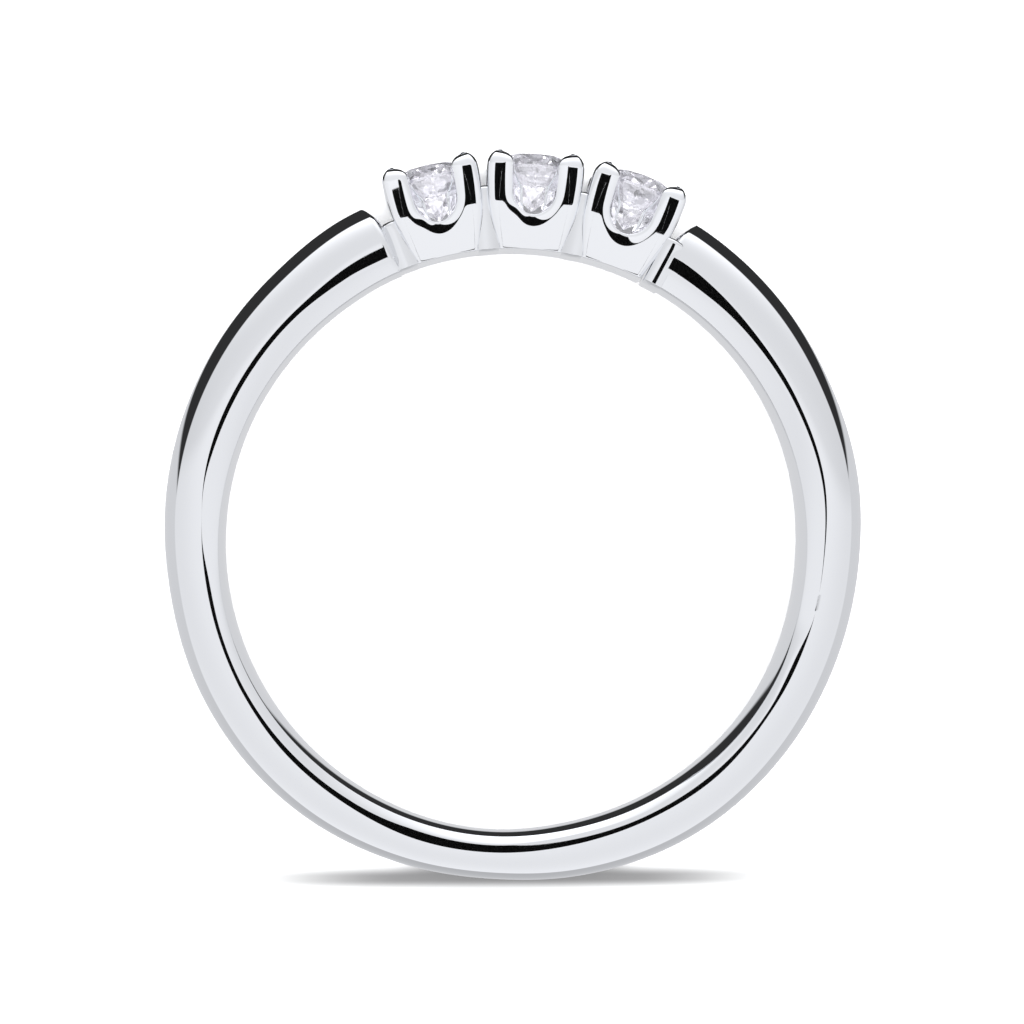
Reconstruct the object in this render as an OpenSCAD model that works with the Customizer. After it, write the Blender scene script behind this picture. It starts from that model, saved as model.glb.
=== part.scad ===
// Three stone ring: a rounded band whose shoulders grow towards three box heads,
// each with four corner prongs around a round brilliant.
// Z is the finger axis, Y points from the finger to the middle stone.

/* [Finger bore] */
// Inside diameter of the ring
bore_d = 17.2; // [15:0.1:21]

/* [Shank] */
// Width of the shank along the finger, from the shoulders to the sides
shank_w = 2.4; // [2.2:0.1:2.8]
// Width of the shank at the back of the ring
back_w = 1.6; // [1.4:0.1:2.2]
// Width that the inner side of the shank draws in to at the bore, from the shoulders to the sides
inner_w = 1.5; // [1:0.1:1.8]
// Depth below the bore at which that inner curve would end
inner_run = 0.15; // [0.1:0.05:0.3]
// Thickness at the shoulder peaks
shoulder_t = 2.26; // [2.1:0.02:2.5]
// Thickness a third of the way from the middle stone to the back
upper_t = 1.92; // [1.8:0.02:2.1]
// Thickness at the sides, half way to the back
side_t = 1.7; // [1.6:0.02:1.8]
// Thickness of the flanks, below the sides
flank_t = 1.6; // [1.5:0.02:1.7]
// Thickness of the lower flanks
lower_t = 1.6; // [1.4:0.02:1.7]
// Thickness at the back of the ring
back_t = 1.38; // [1.2:0.02:1.6]

/* [Shoulder ends] */
// Width of the notch between an outer head and the shoulder
notch_w = 0.3; // [0.2:0.02:0.6]
// Width of the slope from the notch up to the shoulder peak
slope_w = 0.38; // [0.2:0.02:0.8]
// Height of that slope
slope_h = 0.76; // [0.4:0.02:1]

/* [Heads] */
// Gap between the prongs of neighbouring heads, at their tips
head_gap = 0.37; // [0.2:0.01:0.6]
// Head width at the bore
head_base_w = 1.88; // [1.7:0.02:2]
// Head width where the steep lower flare ends
head_waist_w = 2.62; // [2.4:0.02:2.7]
// Height of that flare above the bore
head_waist_h = 1.2; // [0.9:0.05:1.4]
// Head width over the prongs
head_w = 2.82; // [2.76:0.02:2.86]
// Height of the solid corners above the bore
corner_h = 2.05; // [1.8:0.05:2.2]
// Height of the prong tips above the bore
prong_h = 2.78; // [2.7:0.02:3]
// Diameter of a prong
prong_d = 0.78; // [0.7:0.02:0.84]
// Width of the U windows
window_w = 1.3; // [1:0.05:1.3]
// Height of the windows' lowest point above the bore
window_h = 0.98; // [0.8:0.02:1.1]

/* [Links] */
// Depth of the links along the finger
link_w = 1.6; // [1:0.1:1.9]
// Height of the links between the heads above the bore
link_h = 1.7; // [1:0.05:1.9]
// Height of the links between heads and shoulders above the bore
end_link_h = 1.4; // [1:0.05:1.6]

/* [Stones] */
// Diameter of a stone
stone_d = 2.65; // [2.5:0.05:2.7]
// Height of the left stone's table above the bore
left_table_h = 2.7; // [2.6:0.02:2.84]
// Height of the middle stone's table above the bore
centre_table_h = 2.78; // [2.6:0.02:2.84]
// Height of the right stone's table above the bore
right_table_h = 2.82; // [2.6:0.02:2.84]
// Clearance between stone and metal
stone_gap = 0.03; // [0.02:0.01:0.05]

/* [Hidden] */

bore_r = bore_d / 2;
overlap = 0.4;
round_fn = 96;

// Heads stand a pitch apart, clockwise from the left one as seen from +Z.
head_pitch = 2 * asin((head_w + head_gap) / 2 / (bore_r + prong_h));
LEFT = -1;
CENTRE = 0;
RIGHT = 1;
SIDES = [LEFT, CENTRE, RIGHT];
// Share of the pitch between a head's middle and the end of the link that runs into it.
link_start = 0.3;
window_r = window_w / 2;
prong_r = prong_d / 2;
prong_place = head_w / 2 - prong_r;

// Shoulder ends: the slope climbs from its foot at the notch to the peak.
peak_r = bore_r + shoulder_t;
foot_r = peak_r - slope_h;
foot_angle = head_pitch + asin(head_w / 2 / foot_r) + arc_angle(notch_w, foot_r);
peak_angle = foot_angle + arc_angle(slope_w, peak_r);

// Thickness of the shank by angle from the middle stone. The rows at both ends only give the
// curve through the others its direction.
ANGLE = 0;
THICKNESS = 1;
shank_rows = [[0, 2 * shoulder_t - upper_t], [peak_angle, shoulder_t], [60, upper_t], [90, side_t],
              [112, flank_t], [145, lower_t], [180, back_t], [215, lower_t]];
// The widest place of a section, as a share of its thickness above the bore.
apex_share = 0.45;
// Steps of the sweep, along the ring and around a quarter of a section.
station_step = 5;
quarter_steps = 5;

// A brilliant's proportions, as shares of its diameter, and its two facet angles.
table_share = 0.57;
girdle_share = 0.03;
star_share = 0.38;
lower_share = 0.11;
crown_angle = 34.5;
pavilion_angle = 40.75;
stone_r = stone_d / 2;
table_r = stone_d * table_share / 2;
star_r = stone_d * star_share;
lower_r = stone_d * lower_share;
crown_h = (stone_r - table_r) * tan(crown_angle);
girdle_h = stone_d * girdle_share;
pavilion_h = stone_r * tan(pavilion_angle);

// Point at radius r, angle a from +Y, clockwise as seen from +Z.
function at(r, a) = [r * sin(a), r * cos(a)];

// Angle of an arc of the given length and radius.
function arc_angle(length, r) = length / r * 180 / PI;

// Distance of a stone's table from the bore centre.
function table_v(side) =
    bore_r + (side == LEFT ? left_table_h : side == RIGHT ? right_table_h : centre_table_h);

// Value at angle a on the smooth curve through four rows, between the middle two.
function curve(rows, i, a) =
    let (p = rows[i - 1], q = rows[i], r = rows[i + 1], s = rows[i + 2],
         w = r[ANGLE] - q[ANGLE], t = (a - q[ANGLE]) / w,
         m = (r[THICKNESS] - p[THICKNESS]) / (r[ANGLE] - p[ANGLE]) * w,
         n = (s[THICKNESS] - q[THICKNESS]) / (s[ANGLE] - q[ANGLE]) * w)
    q[THICKNESS] * (1 + 2 * t) * pow(1 - t, 2) + m * t * pow(1 - t, 2)
        + r[THICKNESS] * pow(t, 2) * (3 - 2 * t) + n * pow(t, 2) * (t - 1);

// Thickness of the shank at angle a, the same on both sides.
function thickness(a) =
    let (b = min(max(abs(a), peak_angle), 180),
         below = [for (i = [1:len(shank_rows) - 3]) if (shank_rows[i][ANGLE] <= b) i])
    curve(shank_rows, min(below[len(below) - 1], len(shank_rows) - 3), b);

// Width of the shank at angle a: it keeps its full width down to the sides, then draws in.
function width(a) = shank_w - (shank_w - back_w) * pow(sin(max(abs(a) - 90, 0)), 2);

// Section at angle a, as pairs of radius and z: outer half of an ellipse above the apex, and
// below it two quarters that draw in and run on past the bore.
function section(a) =
    let (t = thickness(a), apex = t * apex_share, step = 90 / quarter_steps,
         half = width(a) / 2, draw = half * (1 - inner_w / shank_w))
    concat([for (i = [-quarter_steps + 1:quarter_steps - 1])
                [bore_r + apex + (t - apex) * cos(i * step), half * sin(i * step)]],
           [for (i = [0:quarter_steps])
                [bore_r + apex - (apex + inner_run) * sin(i * step), half - draw * (1 - cos(i * step))]],
           [for (z = [half - draw, draw - half]) [bore_r - overlap, z]],
           [for (i = [quarter_steps:-1:0])
                [bore_r + apex - (apex + inner_run) * sin(i * step), draw * (1 - cos(i * step)) - half]]);

// Solid through the sections at the given angles, closed by its first and last section.
module swept(angles) {
    points = [for (a = angles) for (p = section(a)) [p[0] * sin(a), p[0] * cos(a), p[1]]];
    n = len(section(angles[0]));
    last = (len(angles) - 1) * n;
    sides = [for (k = [0:len(angles) - 2]) for (i = [0:n - 1])
             let (j = (i + 1) % n, here = k * n, next = here + n)
             each [[here + i, next + j, here + j], [here + i, next + i, next + j]]];
    polyhedron(points = points, convexity = 6, faces = concat(
        sides, [[for (i = [0:n - 1]) i]], [[for (i = [n - 1:-1:0]) last + i]]));
}

// The part of the plane that the heads take: up to the end faces and slopes of the shoulders.
module head_sector() {
    outline = [at(foot_r, foot_angle), at(peak_r, peak_angle), at(2 * peak_r, peak_angle)];
    mirrored = [for (i = [2:-1:0]) [-outline[i][0], outline[i][1]]];
    polygon(concat([[0, 0]], outline, mirrored));
}

// Back, sides and both shoulders, cut off at the shoulder ends.
module shank() {
    start = foot_angle - station_step / 2;
    count = ceil((360 - 2 * start) / station_step);
    difference() {
        swept([for (i = [0:count]) let (a = start + i * (360 - 2 * start) / count) a > 180 ? a - 360 : a]);
        linear_extrude(height = 2 * shank_w, center = true) head_sector();
    }
}

// Sector of a flat ring that joins two raised parts, from angle a to angle b.
module link(a, b, height) {
    rotate([0, 0, 90 - b]) rotate_extrude(angle = b - a, $fn = round_fn)
        translate([bore_r - overlap / 2, -link_w / 2]) square([overlap / 2 + height, link_w]);
}

// Outline of a head from one side: a steep flare from the bore, then nearly straight corners.
module head_outline() {
    heights = [bore_r - overlap, bore_r + head_waist_h, bore_r + corner_h];
    flare = (head_waist_w - head_base_w) / 2 * overlap / head_waist_h;
    half = [head_base_w / 2 - flare, head_waist_w / 2, head_w / 2];
    polygon([[half[0], heights[0]], [half[1], heights[1]], [half[2], heights[2]],
             [-half[2], heights[2]], [-half[1], heights[1]], [-half[0], heights[0]]]);
}

// Window with a round lowest point, open at the top.
module window_outline() {
    middle = bore_r + window_h + window_r;
    translate([0, middle]) circle(r = window_r, $fn = round_fn);
    translate([-window_r, middle]) square([window_w, prong_h]);
}

// Prong with a round tip, standing at one corner of a head. It grows out of the flare as a cone
// that reaches its full size at the top of the solid corner.
module prong() {
    tip = bore_r + prong_h - prong_r;
    foot = bore_r + head_waist_h;
    corner = bore_r + corner_h;
    translate([prong_place, 0, prong_place]) {
        translate([0, foot, 0]) rotate([-90, 0, 0])
            cylinder(r1 = prong_r / 2, r2 = prong_r, h = corner - foot, $fn = round_fn);
        translate([0, corner, 0]) rotate([-90, 0, 0])
            cylinder(r = prong_r, h = tip - corner, $fn = round_fn);
        translate([0, tip, 0]) sphere(r = prong_r, $fn = round_fn);
    }
}

// Room for a stone with its table at height v, with its clearance all round.
module seat(v) {
    girdle_v = v - crown_h - girdle_h;
    rotate([-90, 0, 0]) rotate_extrude($fn = round_fn) polygon([
        [0, girdle_v - pavilion_h - 2 * stone_gap], [stone_r + stone_gap, girdle_v - stone_gap],
        [stone_r + stone_gap, v - crown_h + stone_gap], [table_r + stone_gap, v + stone_gap],
        [table_r + stone_gap, v + prong_h], [0, v + prong_h]]);
}

// One box head: a flared square block cut by two windows, with four prongs and the seat of
// a stone whose table is at height v.
module head(v) {
    difference() {
        union() {
            difference() {
                intersection() {
                    linear_extrude(height = head_w, center = true) head_outline();
                    rotate([0, 90, 0]) linear_extrude(height = head_w, center = true) head_outline();
                }
                for (turn = [0, 90]) rotate([0, turn, 0])
                    linear_extrude(height = 2 * head_w, center = true) window_outline();
            }
            for (turn = [0, 90, 180, 270]) rotate([0, turn, 0]) prong();
        }
        seat(v);
    }
}

// Finger bore.
module bore() {
    cylinder(r = bore_r, h = 2 * shank_w, center = true, $fn = round_fn);
}

// All the metal: one cast and soldered solid.
module band() {
    color("gainsboro") difference() {
        union() {
            shank();
            for (side = SIDES) rotate([0, 0, -side * head_pitch]) head(table_v(side));
            for (side = [0, 1]) mirror([side, 0, 0]) {
                link(head_pitch * link_start, head_pitch * (1 - link_start), link_h);
                link(head_pitch * (1 + link_start), peak_angle, end_link_h);
            }
        }
        bore();
    }
}

// Round brilliant with its table facing +Y at height v, made of a table, 8 stars, 8 kites,
// 16 upper and 16 lower halves, 8 mains and a 16 sided girdle.
module brilliant(v) {
    step = 45;
    girdle_top = v - crown_h;
    girdle_low = girdle_top - girdle_h;
    star_v = v - (star_r * cos(step / 2) - table_r) * tan(crown_angle);
    lower_v = girdle_low - (stone_r - lower_r * cos(step / 2)) * tan(pavilion_angle);
    function ring(r, height, count, start) =
        [for (i = [0:count - 1]) let (a = start + i * 360 / count) [r * sin(a), height, r * cos(a)]];
    table = 0;
    star = 8;
    top = 16;
    low = 32;
    lower = 48;
    culet = 56;
    points = concat(ring(table_r, v, 8, 0), ring(star_r, star_v, 8, step / 2),
                    ring(stone_r, girdle_top, 16, 0), ring(stone_r, girdle_low, 16, 0),
                    ring(lower_r, lower_v, 8, step / 2), [[0, girdle_low - pavilion_h, 0]]);
    next8 = [for (k = [0:7]) (k + 1) % 8];
    next16 = [for (k = [0:15]) (k + 1) % 16];
    faces = concat(
        [[for (k = [0:7]) table + 7 - k]],
        [for (k = [0:7]) [table + k, table + next8[k], star + k]],
        [for (k = [0:7]) [table + next8[k], star + next8[k], top + 2 * next8[k], star + k]],
        [for (k = [0:7]) [star + k, top + 2 * k + 1, top + 2 * k]],
        [for (k = [0:7]) [star + k, top + 2 * next8[k], top + 2 * k + 1]],
        [for (k = [0:15]) [top + k, top + next16[k], low + next16[k], low + k]],
        [for (k = [0:7]) [lower + k, low + 2 * k, low + 2 * k + 1]],
        [for (k = [0:7]) [lower + k, low + 2 * k + 1, low + 2 * next8[k]]],
        [for (k = [0:7]) [lower + k, low + 2 * next8[k], lower + next8[k], culet]]);
    polyhedron(points = points, faces = faces, convexity = 2);
}

// The stone on one side, turned into its head.
module stone(side) { color("lavender") rotate([0, 0, -side * head_pitch]) brilliant(table_v(side)); }
module stone_left() { stone(LEFT); }
module stone_centre() { stone(CENTRE); }
module stone_right() { stone(RIGHT); }

band();
stone_left();
stone_centre();
stone_right();
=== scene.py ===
"""Dresses the three stone ring: rhodium plated white gold, polished to a mirror, and three brilliants.

Every shape is worked out in millimetres in the ring's own frame: Z is the finger axis, Y points
from the finger to the middle stone, and angles run clockwise from Y as seen from +Z. The ring
lies on its side on a pale floor, and the camera looks at it almost straight down Z.
"""

import logging
import math
from dataclasses import dataclass
from enum import Enum
from typing import Any

import bpy
import numpy as np
from mathutils import Matrix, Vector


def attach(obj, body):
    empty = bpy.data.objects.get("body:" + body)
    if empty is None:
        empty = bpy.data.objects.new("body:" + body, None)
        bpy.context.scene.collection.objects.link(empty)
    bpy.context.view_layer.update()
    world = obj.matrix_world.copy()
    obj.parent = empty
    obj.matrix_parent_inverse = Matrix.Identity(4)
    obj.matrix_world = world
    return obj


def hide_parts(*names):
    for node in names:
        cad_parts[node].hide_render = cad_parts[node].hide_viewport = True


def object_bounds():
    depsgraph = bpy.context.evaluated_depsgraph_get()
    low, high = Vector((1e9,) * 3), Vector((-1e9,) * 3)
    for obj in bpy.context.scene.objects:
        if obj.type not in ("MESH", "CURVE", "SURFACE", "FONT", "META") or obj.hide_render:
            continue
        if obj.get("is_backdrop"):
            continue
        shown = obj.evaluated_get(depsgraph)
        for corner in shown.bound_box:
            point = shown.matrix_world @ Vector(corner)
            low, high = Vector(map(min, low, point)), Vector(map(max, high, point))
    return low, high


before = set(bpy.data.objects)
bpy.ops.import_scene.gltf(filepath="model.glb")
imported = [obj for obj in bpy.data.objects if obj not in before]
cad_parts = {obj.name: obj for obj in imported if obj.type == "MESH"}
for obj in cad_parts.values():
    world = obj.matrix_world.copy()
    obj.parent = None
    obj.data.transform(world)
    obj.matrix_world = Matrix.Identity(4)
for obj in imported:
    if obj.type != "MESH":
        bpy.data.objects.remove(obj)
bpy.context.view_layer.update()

LOG = logging.getLogger("ring")
MM = 0.001
DIAMOND_IOR = 2.417
SMOOTH = {"interpolation_type": "SMOOTHSTEP"}
Object = bpy.types.Object
Material = bpy.types.Material
Tree = bpy.types.NodeTree
Socket = bpy.types.NodeSocket
Array = np.ndarray
Span = tuple[float, float, float, float]
Rows = tuple[tuple[float, float], ...]
Corners = tuple[tuple[float, float, float], ...]


class Side(Enum):
    """The three heads, by their place along the row, clockwise as seen from +Z."""

    LEFT = -1
    CENTRE = 0
    RIGHT = 1


def hex_linear(code: str) -> tuple[float, float, float, float]:
    """Turns an sRGB hex colour into linear values.

    Args:
        code: Colour such as "#E6E7EA".

    Returns:
        Linear red, green, blue and an alpha of one.
    """
    srgb = np.array([int(code[i:i + 2], 16) for i in (1, 3, 5)]) / 255
    linear = np.where(srgb <= 0.04045, srgb / 12.92, ((srgb + 0.055) / 1.055) ** 2.4)
    return (*linear.tolist(), 1.0)


def add_node(tree: Tree, kind: str, inputs: dict[str, Any] | tuple = (),
             **settings: Any) -> bpy.types.NodeOutputs:
    """Adds one node with its settings, and its inputs as values or as links.

    Args:
        tree: Node tree that takes the node.
        kind: The node's type after the word ShaderNode, such as "TexNoise".
        inputs: The value of each input or the output that feeds it, by name or in order.
        settings: Properties of the node by name.

    Returns:
        The new node's outputs.
    """
    node = tree.nodes.new("ShaderNode" + kind)
    for name, value in settings.items():
        setattr(node, name, value)
    for name, value in inputs.items() if isinstance(inputs, dict) else enumerate(inputs):
        if isinstance(value, Socket):
            tree.links.new(value, node.inputs[name])
        else:
            node.inputs[name].default_value = value
    return node.outputs


def start_material(name: str, values: dict[str, Any]) -> tuple[Material, Tree]:
    """Makes a material and sets the values that are the same all over its surface.

    Args:
        name: Name of the material.
        values: Values of the shader's sockets by name.

    Returns:
        The material and its node tree.
    """
    material = bpy.data.materials.new(name)
    material.use_nodes = True
    for socket, value in values.items():
        material.node_tree.nodes["Principled BSDF"].inputs[socket].default_value = value
    return material, material.node_tree


def feed_shader(material: Material, links: dict[str, Socket]) -> Material:
    """Links what varies over the surface to the material's shader.

    Args:
        material: The material.
        links: Output that feeds each of the shader's sockets, by the socket's name.

    Returns:
        The same material.
    """
    tree = material.node_tree
    for socket, source in links.items():
        tree.links.new(source, tree.nodes["Principled BSDF"].inputs[socket])
    return material


@dataclass(frozen=True)
class PolishedWhiteGold:
    """14 carat white gold under rhodium, lapped and buffed: near-white mirror with faint haze.

    The lines of a real buff are too fine to show, so they are drawn 0.05 mm wide.
    """

    name: str = "rhodium_plated_white_gold"
    colour: str = "#F1F2F4"
    haze_mm: float = 2.2
    haze_tones: tuple[float, float] = (0.35, 0.7)
    roughness: tuple[float, float] = (0.012, 0.045)
    wave_mm: float = 1.6
    wave_depth_mm: float = 0.0006
    buff_mm: float = 0.05
    buff_depth_mm: float = 0.00002

    def make(self) -> Material:
        """Builds the material.

        Returns:
            A mirror whose roughness drifts over a few millimetres, as buffed rhodium does, with
            a hand polisher's slow waves and the fine lines of the buff in its bump.
        """
        material, tree = start_material(self.name, {
            "Base Color": hex_linear(self.colour), "Metallic": 1.0})
        place = add_node(tree, "TexCoord")["Object"]
        haze = add_node(tree, "TexNoise", {
            "Vector": place, "Scale": 1 / (self.haze_mm * MM), "Detail": 3.0})["Fac"]
        rough = add_node(tree, "MapRange", (haze, *self.haze_tones, *self.roughness), **SMOOTH)["Result"]
        wave = add_node(tree, "TexNoise", {
            "Vector": place, "Scale": 1 / (self.wave_mm * MM), "Detail": 1.0})["Fac"]
        slow = add_node(tree, "Bump", {"Height": wave, "Distance": self.wave_depth_mm * MM})
        buff = add_node(tree, "TexNoise", {
            "Vector": place, "Scale": 1 / (self.buff_mm * MM), "Detail": 2.0})["Fac"]
        fine = add_node(tree, "Bump", {
            "Height": buff, "Distance": self.buff_depth_mm * MM, "Normal": slow["Normal"]})
        return feed_shader(material, {"Roughness": rough, "Normal": fine["Normal"]})


@dataclass(frozen=True)
class CutDiamond:
    """Colourless brilliant cut diamond: flat polished facets that bend light strongly.

    A real stone breaks the light into small bright and dark patches. Here they are painted in: some cells
    of a pattern get painted shade in their colour and others a painted glint by emission, as the render
    follows too few bounces.
    """

    name: str = "polished_diamond"
    colour: str = "#FBFAFF"
    painted_shade_colour: str = "#3A3A46"
    painted_glint_colour: str = "#F6F4FF"
    clear: float = 0.95
    drift_mm: float = 0.5
    painted_shade_and_glint_cell_mm: float = 0.3
    # dark paints shade into cells and glow paints a glint into cells, in place of a real stone's play of
    # light.
    dark: Span = (0.1, 0.3, 0.6, 0.0)
    glow: Span = (0.35, 0.45, 0.0, 0.16)

    def make(self) -> Material:
        """Builds the material. The spans dark and glow, for the painted shade and the painted glint, give
        a range of a cell's random number and the results at its ends.

        Returns:
            Clear stone with a faint drift of tint, cells of painted shade and cells with a painted glint
            that glows.
        """
        material, tree = start_material(self.name, {
            "Transmission Weight": self.clear, "IOR": DIAMOND_IOR, "Roughness": 0.0,
            "Emission Color": hex_linear(self.painted_glint_colour)})
        place = add_node(tree, "TexCoord")["Object"]
        drift = add_node(tree, "TexNoise", {
            "Vector": place, "Scale": 1 / (self.drift_mm * MM), "Detail": 1.0})["Fac"]
        tint = add_node(tree, "Mix", {"Factor": drift, "A": hex_linear("#FFFFFF"),
                                      "B": hex_linear(self.colour)}, data_type="RGBA")["Result"]
        cells = add_node(tree, "TexVoronoi", {"Vector": place, "Scale": 1 / (self.painted_shade_and_glint_cell_mm * MM)},
                         distance="CHEBYCHEV")["Color"]
        red, green, _ = add_node(tree, "SeparateColor", (cells,))
        # Painted shade: cells darkened in the base colour, for the dark patches of light in a real stone.
        dark = add_node(tree, "MapRange", (red, *self.dark), **SMOOTH)["Result"]
        # Painted glint: cells that glow by emission, for the bright patches of light in a real stone.
        glow = add_node(tree, "MapRange", (green, *self.glow), **SMOOTH)["Result"]
        tint_and_painted_shade = add_node(tree, "Mix", {"Factor": dark, "A": tint, "B": hex_linear(self.painted_shade_colour)},
                         data_type="RGBA")["Result"]
        return feed_shader(material, {"Base Color": tint_and_painted_shade, "Emission Strength": glow})


@dataclass(frozen=True)
class BrutedGirdle:
    """The girdle of a brilliant: turned against another diamond, so it is frosted and waxy."""

    name: str = "bruted_diamond_girdle"
    colour: str = "#B9B8C4"
    grain_mm: float = 0.03
    grain_tones: tuple[float, float] = (0.3, 0.7)
    roughness: tuple[float, float] = (0.25, 0.5)

    def make(self) -> Material:
        """Builds the material.

        Returns:
            Clear stone with a rough, finely grained surface.
        """
        material, tree = start_material(self.name, {
            "Base Color": hex_linear(self.colour), "Transmission Weight": 1.0, "IOR": DIAMOND_IOR})
        grain = add_node(tree, "TexNoise", {
            "Vector": add_node(tree, "TexCoord")["Object"], "Scale": 1 / (self.grain_mm * MM),
            "Detail": 2.0})["Fac"]
        rough = add_node(tree, "MapRange", (grain, *self.grain_tones, *self.roughness), **SMOOTH)["Result"]
        return feed_shader(material, {"Roughness": rough})


@dataclass(frozen=True)
class StudioPaper:
    """Matte white background paper: pale, without gloss, with a barely visible tooth.

    The dark streak on the ground under the ring's back is painted, as the soft light over the
    ring casts none so dark. It is centred on (shade_x, shade_y) and rises by shade_slope.
    """

    name: str = "matte_background_paper"
    colour: str = "#FAFAFA"
    low_colour: str = "#F7F7F7"
    fibre_mm: float = 0.4
    shade_x: float = 0.74
    shade_y: float = -10.2
    shade_slope: float = 0.059
    along_fade: Span = (3.5, 12.5, 0.8, 0.0)
    across_fade: Span = (0.05, 0.6, 1.0, 0.0)
    under_ring: Span = (1.5, 4.0, 0.45, 1.0)

    def make(self) -> Material:
        """Builds the material. Each fade gives distances from the streak's middle in millimetres
        and the strength of the shade at both.

        Returns:
            A diffuse white whose tone varies a little from fibre to fibre, with the dark streak.
        """
        material, tree = start_material(self.name, {"Roughness": 1.0, "Specular IOR Level": 0.0})
        place = add_node(tree, "TexCoord")["Object"]
        fibre = add_node(tree, "TexNoise", {
            "Vector": place, "Scale": 1 / (self.fibre_mm * MM), "Detail": 3.0})["Fac"]
        tone = add_node(tree, "Mix", {"Factor": fibre, "A": hex_linear(self.low_colour),
                                      "B": hex_linear(self.colour)}, data_type="RGBA")["Result"]
        along, across = self.shade_axes(tree, place)
        lengthwise = add_node(tree, "MapRange", (along, *self.along_fade), **SMOOTH)
        crosswise = add_node(tree, "MapRange", (across, *self.across_fade), **SMOOTH)
        shade = add_node(tree, "Math", (lengthwise[0], crosswise[0]), operation="MULTIPLY")[0]
        shaded = add_node(tree, "Mix", {"Factor": shade, "A": tone, "B": hex_linear("#000000")},
                          data_type="RGBA")["Result"]
        return feed_shader(material, {"Base Color": shaded})

    def shade_axes(self, tree: Tree, place: Socket) -> tuple[Socket, Socket]:
        """Distances from the middle of the dark streak, in millimetres.

        Args:
            tree: Node tree that takes the nodes.
            place: Socket with the point on the paper.

        Returns:
            Distance along the streak and distance across it, which grows more slowly under the
            ring's back, so that the streak joins the ring from every side.
        """
        x, y, _ = add_node(tree, "SeparateXYZ", (place,))
        x = add_node(tree, "Math", (x, 1 / MM, -self.shade_x), operation="MULTIPLY_ADD")[0]
        y = add_node(tree, "Math", (y, 1 / MM, -self.shade_y), operation="MULTIPLY_ADD")[0]
        level_y = add_node(tree, "Math", (x, -self.shade_slope, y), operation="MULTIPLY_ADD")[0]
        along = add_node(tree, "Math", (x,), operation="ABSOLUTE")[0]
        slower = add_node(tree, "MapRange", (along, *self.under_ring), **SMOOTH)[0]
        above = add_node(tree, "Math", (level_y, slower), operation="MULTIPLY")[0]
        below = add_node(tree, "Math", (level_y, -1.0), operation="MULTIPLY")[0]
        return along, add_node(tree, "Math", (above, below), operation="MAXIMUM")[0]


def build_metal(name: str, grid: Array, first: Array, last: Array) -> Object:
    """Makes a closed piece of the band from rows of points, each row a closed loop, whose two
    open ends close in a pole each.

    Args:
        name: Name of the piece.
        grid: Points in millimetres, rows by columns by three.
        first: Pole before the first row.
        last: Pole after the last row.

    Returns:
        The piece, smooth shaded, with its faces outwards.
    """
    rows, columns = grid.shape[:2]
    points = np.vstack([grid.reshape(-1, 3), first, last])
    row, column = np.meshgrid(np.arange(rows - 1), np.arange(columns), indexing="ij")
    here, beside = row * columns + column, row * columns + (column + 1) % columns
    quads = np.stack([here, beside, beside + columns, here + columns], axis=-1).reshape(-1, 4)
    ring = np.arange(columns)
    after = (ring + 1) % columns
    pole, edge = rows * columns, (rows - 1) * columns
    fan = np.vstack([np.stack([np.full(columns, pole), after, ring], axis=1),
                     np.stack([np.full(columns, pole + 1), edge + ring, edge + after], axis=1)])
    triangles = np.vstack([quads[:, [0, 1, 2]], quads[:, [0, 2, 3]], fan])
    a, b, c = (points[triangles[:, corner]] for corner in range(3))
    if np.einsum("ij,ij->i", a, np.cross(b, c)).sum() < 0:
        quads, fan = quads[:, ::-1], fan[:, ::-1]
    mesh = bpy.data.meshes.new(name)
    mesh.from_pydata((points * MM).tolist(), [], quads.tolist() + fan.tolist())
    mesh.shade_smooth()
    return place_piece(bpy.data.objects.new(name, mesh), "band")


def place_piece(piece: Object, node: str) -> Object:
    """Puts a piece into the scene, on the ring's only body, in place of its CAD node.

    Args:
        piece: The new object.
        node: CAD node that it replaces.

    Returns:
        The same piece.
    """
    bpy.context.scene.collection.objects.link(piece)
    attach(piece, "root")
    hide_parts(node)
    LOG.info("%s: %d faces", piece.name, len(piece.data.polygons))
    return piece


@dataclass(frozen=True)
class RingSizes:
    """Sizes shared by the pieces, in millimetres, and right_link_ahead in radians."""

    bore_r: float = 8.6
    head_gap: float = 0.37
    head_w: float = 2.82
    foot_w: float = 1.88
    prong_h: float = 2.78
    notch_w: float = 0.3
    slope_w: float = 0.38
    slope_h: float = 0.76
    shoulder_t: float = 2.26
    link_h: float = 1.85
    end_link_h: float = 1.42
    right_link_ahead: float = 0.012
    table_heights: tuple[float, float, float] = (2.7, 2.78, 2.82)

    @property
    def pitch(self) -> float:
        """Angle between neighbouring heads, in radians."""
        return 2 * math.asin((self.head_w + self.head_gap) / 2 / (self.bore_r + self.prong_h))

    @property
    def peak_r(self) -> float:
        """Distance of the shoulder peaks from the bore centre."""
        return self.bore_r + self.shoulder_t

    @property
    def foot_r(self) -> float:
        """Distance of the foot of a shoulder's slope from the bore centre."""
        return self.peak_r - self.slope_h

    @property
    def foot_angle(self) -> float:
        """Angle of a shoulder's end face from the middle stone, in radians."""
        return self.pitch + math.asin(self.head_w / 2 / self.foot_r) + self.notch_w / self.foot_r

    @property
    def peak_angle(self) -> float:
        """Angle of a shoulder's peak from the middle stone, in radians."""
        return self.foot_angle + self.slope_w / self.peak_r

    @property
    def end_angle(self) -> float:
        """Angle of the middle of the gap between an outer head and its shoulder, in radians."""
        return (self.pitch + math.asin(self.foot_w / 2 / self.bore_r) + self.foot_angle) / 2


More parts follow.
